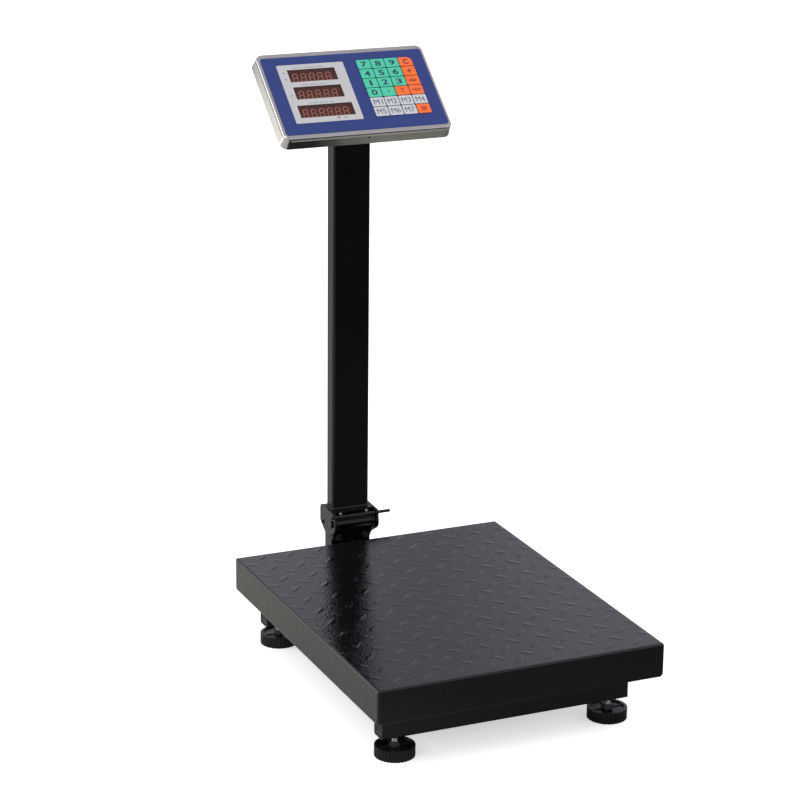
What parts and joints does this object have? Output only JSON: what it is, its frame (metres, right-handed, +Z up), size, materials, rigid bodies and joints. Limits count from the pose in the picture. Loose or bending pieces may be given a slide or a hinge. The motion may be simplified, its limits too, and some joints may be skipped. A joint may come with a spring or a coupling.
{
  "type": "platform shipping scale",
  "caption": "Floor platform scale: loose tread-plate deck on a load cell, screw feet, and a folding column with a tilted keypad and display head.",
  "frame": {"origin": "on the floor, under the middle of the whole footprint", "axes": "+Z up along the column; +X to the right of the operator facing the display; +Y from the deck's front edge towards the column"},
  "size_m": [0.4, 0.6256, 0.7937],
  "materials": {
    "deck_paint": "gloss black enamel over embossed tread plate",
    "frame_paint": "satin black paint",
    "column_paint": "satin black powder coat",
    "blackened_steel": "blackened, lightly polished by use",
    "cell_aluminium": "machined and anodised",
    "zinc_steel": "bright zinc plate",
    "pad_rubber": "matt",
    "foot_plastic": "moulded, slightly shiny",
    "stainless": "polished stainless sheet",
    "overlay_film": "semi-gloss printed film",
    "display_frame": "printed pale grey",
    "smoked_window": "smoked brown, glossy",
    "digit_block": "dark, with dull brown segments",
    "circuit_board": "green solder mask",
    "battery_case": "moulded",
    "cover_plastic": "fine moulded grain",
    "switch_plastic": "glossy black",
    "cable_jacket": "matt PVC",
    "key_teal": "embossed film",
    "key_orange": "embossed film",
    "key_pale": "embossed film"
  },
  "bodies": {
    "base": {"base_frame": "frame_paint", "load_cell": "cell_aluminium", "load_cell_bolts_lower": "zinc_steel", "column_stub": "column_paint", "stub_screws": "blackened_steel", "hinge_pin": "blackened_steel", "signal_cable_lower": "cable_jacket"},
    "platform": {"platform_frame": "frame_paint", "platform_pads": "pad_rubber", "load_cell_bolts_upper": "zinc_steel"},
    "deck": {"deck_cover": "deck_paint"},
    "column": {"column_tube": "column_paint", "hinge_bracket": "column_paint", "bracket_screws": "zinc_steel", "head_bracket": "column_paint", "head_bracket_screws": "zinc_steel", "head_shell": "stainless", "front_overlay": "overlay_film", "display_panel": "display_frame", "display_windows": "smoked_window", "digit_modules": "digit_block", "main_board": "circuit_board", "battery": "battery_case", "rear_cover": "cover_plastic", "rear_cover_screws": "zinc_steel", "signal_cable_upper": "cable_jacket"},
    "lock": {"lock_rod": "blackened_steel"},
    "switch": {"power_switch": "switch_plastic"},
    "stud_front_left": {"foot_stud_front_left": "zinc_steel"},
    "pad_front_left": {"foot_pad_front_left": "foot_plastic"},
    "stud_front_right": {"foot_stud_front_right": "zinc_steel"},
    "pad_front_right": {"foot_pad_front_right": "foot_plastic"},
    "stud_rear_left": {"foot_stud_rear_left": "zinc_steel"},
    "pad_rear_left": {"foot_pad_rear_left": "foot_plastic"},
    "stud_rear_right": {"foot_stud_rear_right": "zinc_steel"},
    "pad_rear_right": {"foot_pad_rear_right": "foot_plastic"},
    "key_7": {"key_7": "key_teal"},
    "key_8": {"key_8": "key_teal"},
    "key_9": {"key_9": "key_teal"},
    "key_clear": {"key_clear": "key_orange"},
    "key_4": {"key_4": "key_teal"},
    "key_5": {"key_5": "key_teal"},
    "key_6": {"key_6": "key_teal"},
    "key_add": {"key_add": "key_orange"},
    "key_1": {"key_1": "key_teal"},
    "key_2": {"key_2": "key_teal"},
    "key_3": {"key_3": "key_teal"},
    "key_change": {"key_change": "key_orange"},
    "key_0": {"key_0": "key_teal"},
    "key_point": {"key_point": "key_teal"},
    "key_tare": {"key_tare": "key_orange"},
    "key_zero": {"key_zero": "key_orange"},
    "key_m1": {"key_m1": "key_pale"},
    "key_m2": {"key_m2": "key_pale"},
    "key_m3": {"key_m3": "key_pale"},
    "key_m4": {"key_m4": "key_pale"},
    "key_m5": {"key_m5": "key_pale"},
    "key_m6": {"key_m6": "key_pale"},
    "key_m7": {"key_m7": "key_pale"},
    "key_total": {"key_total": "key_orange"}
  },
  "joints": [
    {"name": "column_fold", "type": "hinge", "parent": "base", "child": "column", "pos_m": [0, 0.239, 0.125], "axis": [1, 0, 0], "range_deg": [0, 90]},
    {"name": "lock_turn", "type": "hinge", "parent": "column", "child": "lock", "pos_m": [0, 0.2325, 0.137], "axis": [1, 0, 0], "range_deg": [0, 60]},
    {"name": "deck_load", "type": "slide", "parent": "base", "child": "platform", "axis": [0, 0, 1], "range_m": [-0.0004, 0], "deforming": ["load_cell"]},
    {"name": "deck_lift", "type": "slide", "parent": "platform", "child": "deck", "axis": [0, 0, 1], "range_m": [0, 0.015]},
    {"name": "foot_height_front_left", "type": "slide", "parent": "base", "child": "stud_front_left", "axis": [0, 0, 1], "range_m": [-0.01, 0.005]},
    {"name": "foot_turn_front_left", "type": "hinge", "parent": "stud_front_left", "child": "pad_front_left", "pos_m": [-0.151, -0.2545, 0], "axis": [0, 0, 1], "range_deg": [-2900, 1450]},
    {"name": "foot_height_front_right", "type": "slide", "parent": "base", "child": "stud_front_right", "axis": [0, 0, 1], "range_m": [-0.01, 0.005]},
    {"name": "foot_turn_front_right", "type": "hinge", "parent": "stud_front_right", "child": "pad_front_right", "pos_m": [0.151, -0.2545, 0], "axis": [0, 0, 1], "range_deg": [-2900, 1450]},
    {"name": "foot_height_rear_left", "type": "slide", "parent": "base", "child": "stud_rear_left", "axis": [0, 0, 1], "range_m": [-0.01, 0.005]},
    {"name": "foot_turn_rear_left", "type": "hinge", "parent": "stud_rear_left", "child": "pad_rear_left", "pos_m": [-0.151, 0.1445, 0], "axis": [0, 0, 1], "range_deg": [-2900, 1450]},
    {"name": "foot_height_rear_right", "type": "slide", "parent": "base", "child": "stud_rear_right", "axis": [0, 0, 1], "range_m": [-0.01, 0.005]},
    {"name": "foot_turn_rear_right", "type": "hinge", "parent": "stud_rear_right", "child": "pad_rear_right", "pos_m": [0.151, 0.1445, 0], "axis": [0, 0, 1], "range_deg": [-2900, 1450]},
    {"name": "switch_rock", "type": "hinge", "parent": "column", "child": "switch", "pos_m": [0.06, 0.29658, 0.75565], "axis": [0, -0.6455, 0.7638], "range_deg": [0, 16]},
    {"name": "press_7", "type": "slide", "parent": "column", "child": "key_7", "axis": [0, 0.6455, -0.7638], "range_m": [0, 0.0004]},
    {"name": "press_8", "type": "slide", "parent": "column", "child": "key_8", "axis": [0, 0.6455, -0.7638], "range_m": [0, 0.0004]},
    {"name": "press_9", "type": "slide", "parent": "column", "child": "key_9", "axis": [0, 0.6455, -0.7638], "range_m": [0, 0.0004]},
    {"name": "press_clear", "type": "slide", "parent": "column", "child": "key_clear", "axis": [0, 0.6455, -0.7638], "range_m": [0, 0.0004]},
    {"name": "press_4", "type": "slide", "parent": "column", "child": "key_4", "axis": [0, 0.6455, -0.7638], "range_m": [0, 0.0004]},
    {"name": "press_5", "type": "slide", "parent": "column", "child": "key_5", "axis": [0, 0.6455, -0.7638], "range_m": [0, 0.0004]},
    {"name": "press_6", "type": "slide", "parent": "column", "child": "key_6", "axis": [0, 0.6455, -0.7638], "range_m": [0, 0.0004]},
    {"name": "press_add", "type": "slide", "parent": "column", "child": "key_add", "axis": [0, 0.6455, -0.7638], "range_m": [0, 0.0004]},
    {"name": "press_1", "type": "slide", "parent": "column", "child": "key_1", "axis": [0, 0.6455, -0.7638], "range_m": [0, 0.0004]},
    {"name": "press_2", "type": "slide", "parent": "column", "child": "key_2", "axis": [0, 0.6455, -0.7638], "range_m": [0, 0.0004]},
    {"name": "press_3", "type": "slide", "parent": "column", "child": "key_3", "axis": [0, 0.6455, -0.7638], "range_m": [0, 0.0004]},
    {"name": "press_change", "type": "slide", "parent": "column", "child": "key_change", "axis": [0, 0.6455, -0.7638], "range_m": [0, 0.0004]},
    {"name": "press_0", "type": "slide", "parent": "column", "child": "key_0", "axis": [0, 0.6455, -0.7638], "range_m": [0, 0.0004]},
    {"name": "press_point", "type": "slide", "parent": "column", "child": "key_point", "axis": [0, 0.6455, -0.7638], "range_m": [0, 0.0004]},
    {"name": "press_tare", "type": "slide", "parent": "column", "child": "key_tare", "axis": [0, 0.6455, -0.7638], "range_m": [0, 0.0004]},
    {"name": "press_zero", "type": "slide", "parent": "column", "child": "key_zero", "axis": [0, 0.6455, -0.7638], "range_m": [0, 0.0004]},
    {"name": "press_m1", "type": "slide", "parent": "column", "child": "key_m1", "axis": [0, 0.6455, -0.7638], "range_m": [0, 0.0004]},
    {"name": "press_m2", "type": "slide", "parent": "column", "child": "key_m2", "axis": [0, 0.6455, -0.7638], "range_m": [0, 0.0004]},
    {"name": "press_m3", "type": "slide", "parent": "column", "child": "key_m3", "axis": [0, 0.6455, -0.7638], "range_m": [0, 0.0004]},
    {"name": "press_m4", "type": "slide", "parent": "column", "child": "key_m4", "axis": [0, 0.6455, -0.7638], "range_m": [0, 0.0004]},
    {"name": "press_m5", "type": "slide", "parent": "column", "child": "key_m5", "axis": [0, 0.6455, -0.7638], "range_m": [0, 0.0004]},
    {"name": "press_m6", "type": "slide", "parent": "column", "child": "key_m6", "axis": [0, 0.6455, -0.7638], "range_m": [0, 0.0004]},
    {"name": "press_m7", "type": "slide", "parent": "column", "child": "key_m7", "axis": [0, 0.6455, -0.7638], "range_m": [0, 0.0004]},
    {"name": "press_total", "type": "slide", "parent": "column", "child": "key_total", "axis": [0, 0.6455, -0.7638], "range_m": [0, 0.0004]}
  ],
  "couplings": [
    {"joint": "foot_turn_front_left", "follows": "foot_height_front_left", "rad_per_m": 5026.5},
    {"joint": "foot_turn_front_right", "follows": "foot_height_front_right", "rad_per_m": 5026.5},
    {"joint": "foot_turn_rear_left", "follows": "foot_height_rear_left", "rad_per_m": 5026.5},
    {"joint": "foot_turn_rear_right", "follows": "foot_height_rear_right", "rad_per_m": 5026.5}
  ]
}
